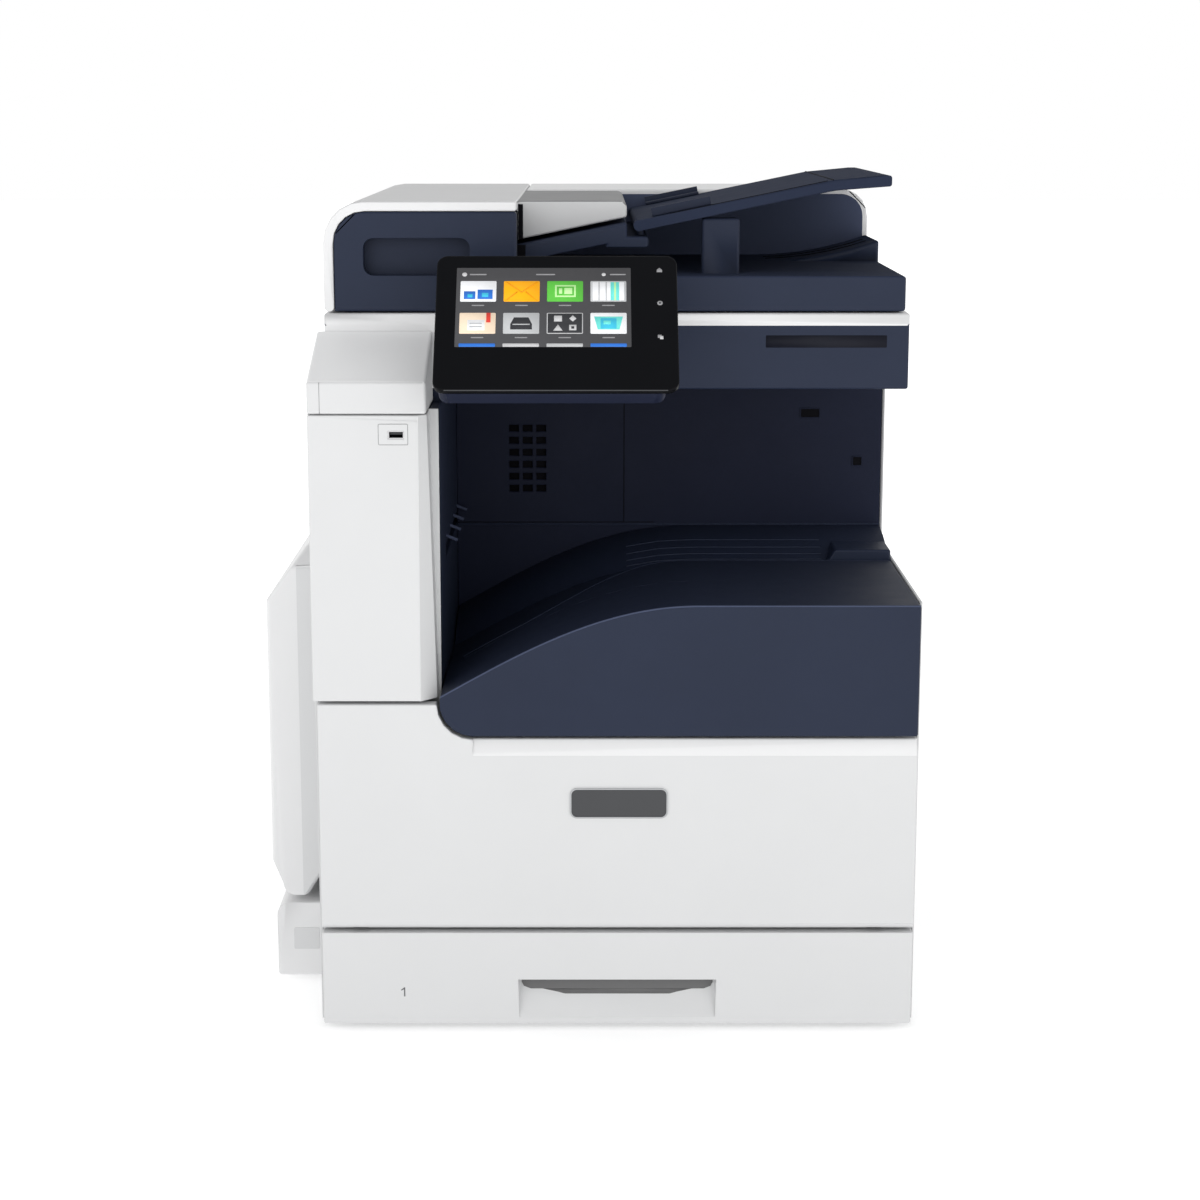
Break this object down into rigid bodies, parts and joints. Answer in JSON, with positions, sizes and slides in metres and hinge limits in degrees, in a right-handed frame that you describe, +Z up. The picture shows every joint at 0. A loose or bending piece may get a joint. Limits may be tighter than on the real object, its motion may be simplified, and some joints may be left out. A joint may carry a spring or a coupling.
{
  "type": "photocopier",
  "caption": "Free-standing office photocopier with a document feeder on its lid, tilting touch panel, output bay, front door, side door and a paper drawer.",
  "frame": {"origin": "on the floor, under the middle of the machine's box", "axes": "+Z up, -Y out of the front, +X to the right of someone who faces the front"},
  "size_m": [0.614, 0.723, 0.787],
  "materials": {
    "belt_film": "dark polyimide film",
    "black_gloss": "black glass front",
    "board_green": "circuit board",
    "dark_plastic": "moulded",
    "drum_green": "coated drum",
    "glass": "clear",
    "navy_plastic": "fine moulded texture",
    "rubber": "matt",
    "shaft_steel": "ground",
    "sheet_steel": "galvanised sheet",
    "toner_black": "moulded",
    "toner_cyan": "moulded",
    "toner_magenta": "moulded",
    "toner_yellow": "moulded",
    "white_foam": "white sheet on foam",
    "white_plastic": "fine moulded texture"
  },
  "bodies": {
    "chassis": {"base_frame": "sheet_steel", "bay_rear_wall": "navy_plastic", "carriage_rod": "shaft_steel", "control_board": "board_green", "exit_housing": "navy_plastic", "foot_front_left": "rubber", "foot_front_right": "rubber", "foot_rear_left": "rubber", "foot_rear_right": "rubber", "front_frame_plate": "sheet_steel", "laser_unit": "dark_plastic", "left_cover": "white_plastic", "lid_hinge_left": "sheet_steel", "lid_hinge_right": "sheet_steel", "lower_side_cover": "white_plastic", "output_tray": "navy_plastic", "panel_bracket": "navy_plastic", "platen_glass": "glass", "power_inlet": "dark_plastic", "rear_cover": "white_plastic", "rear_frame_plate": "sheet_steel", "right_cover": "white_plastic", "scanner_body": "navy_plastic", "toner_cartridge_black": "toner_black", "toner_cartridge_cyan": "toner_cyan", "toner_cartridge_magenta": "toner_magenta", "toner_cartridge_yellow": "toner_yellow", "tower_cap": "white_plastic", "tower_cover": "white_plastic", "transfer_belt": "belt_film"},
    "drawer": {"drawer_box": "dark_plastic", "drawer_front": "white_plastic"},
    "lid": {"lid_base": "navy_plastic", "platen_pad": "white_foam"},
    "front_door": {"front_door": "white_plastic"},
    "lift_plate": {"lift_plate": "sheet_steel"},
    "end_guide": {"end_guide": "dark_plastic"},
    "side_guide_front": {"side_guide_front": "dark_plastic"},
    "side_guide_rear": {"side_guide_rear": "dark_plastic"},
    "side_door": {"side_door": "white_plastic"},
    "bypass_tray": {"bypass_tray": "white_plastic"},
    "power_switch": {"power_switch": "dark_plastic"},
    "scan_carriage": {"scan_carriage": "dark_plastic"},
    "feeder_cover": {"feeder_cover": "white_plastic"},
    "feed_roller": {"feed_roller": "rubber"},
    "document_tray": {"document_tray": "navy_plastic"},
    "document_guide_front": {"document_guide_front": "navy_plastic"},
    "document_guide_rear": {"document_guide_rear": "navy_plastic"},
    "control_panel": {"control_panel": "black_gloss"},
    "belt_drive_roller": {"belt_drive_roller": "rubber"},
    "belt_tension_roller": {"belt_tension_roller": "shaft_steel"},
    "drum_black": {"drum_black": "drum_green"},
    "drum_cyan": {"drum_cyan": "drum_green"},
    "drum_magenta": {"drum_magenta": "drum_green"},
    "drum_yellow": {"drum_yellow": "drum_green"},
    "fuser_roller": {"fuser_roller": "shaft_steel"},
    "pressure_roller": {"pressure_roller": "rubber"},
    "registration_roller": {"registration_roller": "rubber"},
    "exit_roller": {"exit_roller": "rubber"},
    "pickup_roller": {"pickup_roller": "rubber"}
  },
  "joints": [
    {"name": "front_door_hinge", "type": "hinge", "parent": "chassis", "child": "front_door", "pos_m": [0, -0.292, 0.108], "axis": [1, 0, 0], "range_deg": [0, 80]},
    {"name": "drawer_slide", "type": "slide", "parent": "chassis", "child": "drawer", "axis": [0, -1, 0], "range_m": [0, 0.4]},
    {"name": "lift_plate_hinge", "type": "hinge", "parent": "drawer", "child": "lift_plate", "pos_m": [0.0363, -0.00875, 0.0208], "axis": [0, 1, 0], "range_deg": [0, 11]},
    {"name": "end_guide_slide", "type": "slide", "parent": "drawer", "child": "end_guide", "axis": [-1, 0, 0], "range_m": [0, 0.123]},
    {"name": "side_guide_front_slide", "type": "slide", "parent": "drawer", "child": "side_guide_front", "axis": [0, 1, 0], "range_m": [0, 0.0745]},
    {"name": "side_guide_rear_slide", "type": "slide", "parent": "drawer", "child": "side_guide_rear", "axis": [0, -1, 0], "range_m": [0, 0.0745]},
    {"name": "side_door_hinge", "type": "hinge", "parent": "chassis", "child": "side_door", "pos_m": [-0.285, 0, 0.103], "axis": [0, -1, 0], "range_deg": [0, 50]},
    {"name": "bypass_tray_hinge", "type": "hinge", "parent": "side_door", "child": "bypass_tray", "pos_m": [-0.3015, 0, 0.1715], "axis": [0, -1, 0], "range_deg": [0, 75]},
    {"name": "power_switch_rock", "type": "hinge", "parent": "chassis", "child": "power_switch", "pos_m": [0.2587, -0.266, 0.255], "axis": [1, 0, 0], "range_deg": [0, 14]},
    {"name": "scan_carriage_slide", "type": "slide", "parent": "chassis", "child": "scan_carriage", "axis": [1, 0, 0], "range_m": [0, 0.4]},
    {"name": "lid_hinge", "type": "hinge", "parent": "chassis", "child": "lid", "pos_m": [0, 0.308, 0.676], "axis": [-1, 0, 0], "range_deg": [0, 68]},
    {"name": "feeder_cover_hinge", "type": "hinge", "parent": "lid", "child": "feeder_cover", "pos_m": [-0.23735, 0, 0.66865], "axis": [0, -1, 0], "range_deg": [0, 60]},
    {"name": "feed_roller_spin", "type": "hinge", "parent": "lid", "child": "feed_roller", "pos_m": [-0.082, 0, 0.72983], "axis": [0, 1, 0], "continuous": true},
    {"name": "document_tray_hinge", "type": "hinge", "parent": "lid", "child": "document_tray", "pos_m": [0.049, 0, 0.74095], "axis": [0, -1, 0], "range_deg": [0, 40]},
    {"name": "document_guide_front_slide", "type": "slide", "parent": "document_tray", "child": "document_guide_front", "axis": [0, 1, 0], "range_m": [0, 0.08]},
    {"name": "document_guide_rear_slide", "type": "slide", "parent": "document_tray", "child": "document_guide_rear", "axis": [0, -1, 0], "range_m": [0, 0.08]},
    {"name": "control_panel_tilt", "type": "hinge", "parent": "chassis", "child": "control_panel", "pos_m": [-0.026, -0.31571, 0.615], "axis": [1, 0, 0], "range_deg": [-5, 25]},
    {"name": "belt_drive_spin", "type": "hinge", "parent": "chassis", "child": "belt_drive_roller", "pos_m": [-0.1705, 0, 0.2041], "axis": [0, 1, 0], "continuous": true},
    {"name": "belt_tension_spin", "type": "hinge", "parent": "chassis", "child": "belt_tension_roller", "pos_m": [0.2045, 0, 0.2041], "axis": [0, 1, 0], "continuous": true},
    {"name": "drum_black_spin", "type": "hinge", "parent": "chassis", "child": "drum_black", "pos_m": [-0.1105, 0, 0.172], "axis": [0, 1, 0], "continuous": true},
    {"name": "drum_cyan_spin", "type": "hinge", "parent": "chassis", "child": "drum_cyan", "pos_m": [-0.0255, 0, 0.172], "axis": [0, 1, 0], "continuous": true},
    {"name": "drum_magenta_spin", "type": "hinge", "parent": "chassis", "child": "drum_magenta", "pos_m": [0.0595, 0, 0.172], "axis": [0, 1, 0], "continuous": true},
    {"name": "drum_yellow_spin", "type": "hinge", "parent": "chassis", "child": "drum_yellow", "pos_m": [0.1445, 0, 0.172], "axis": [0, 1, 0], "continuous": true},
    {"name": "fuser_roller_spin", "type": "hinge", "parent": "chassis", "child": "fuser_roller", "pos_m": [-0.1855, 0, 0.3], "axis": [0, 1, 0], "continuous": true},
    {"name": "pressure_roller_spin", "type": "hinge", "parent": "chassis", "child": "pressure_roller", "pos_m": [-0.2147, 0, 0.3], "axis": [0, 1, 0], "continuous": true},
    {"name": "registration_roller_spin", "type": "hinge", "parent": "chassis", "child": "registration_roller", "pos_m": [-0.2147, 0, 0.165], "axis": [0, 1, 0], "continuous": true},
    {"name": "exit_roller_spin", "type": "hinge", "parent": "chassis", "child": "exit_roller", "pos_m": [-0.1538, 0, 0.432], "axis": [0, 1, 0], "continuous": true},
    {"name": "pickup_roller_spin", "type": "hinge", "parent": "chassis", "child": "pickup_roller", "pos_m": [-0.1837, 0, 0.112], "axis": [0, 1, 0], "continuous": true}
  ],
  "couplings": [
    {"joint": "side_guide_rear_slide", "follows": "side_guide_front_slide", "ratio": 1},
    {"joint": "document_guide_rear_slide", "follows": "document_guide_front_slide", "ratio": 1},
    {"joint": "belt_tension_spin", "follows": "belt_drive_spin", "ratio": 1},
    {"joint": "drum_black_spin", "follows": "belt_drive_spin", "ratio": -0.96875},
    {"joint": "drum_cyan_spin", "follows": "belt_drive_spin", "ratio": -0.96875},
    {"joint": "drum_magenta_spin", "follows": "belt_drive_spin", "ratio": -0.96875},
    {"joint": "drum_yellow_spin", "follows": "belt_drive_spin", "ratio": -0.96875},
    {"joint": "pressure_roller_spin", "follows": "fuser_roller_spin", "ratio": -1}
  ]
}
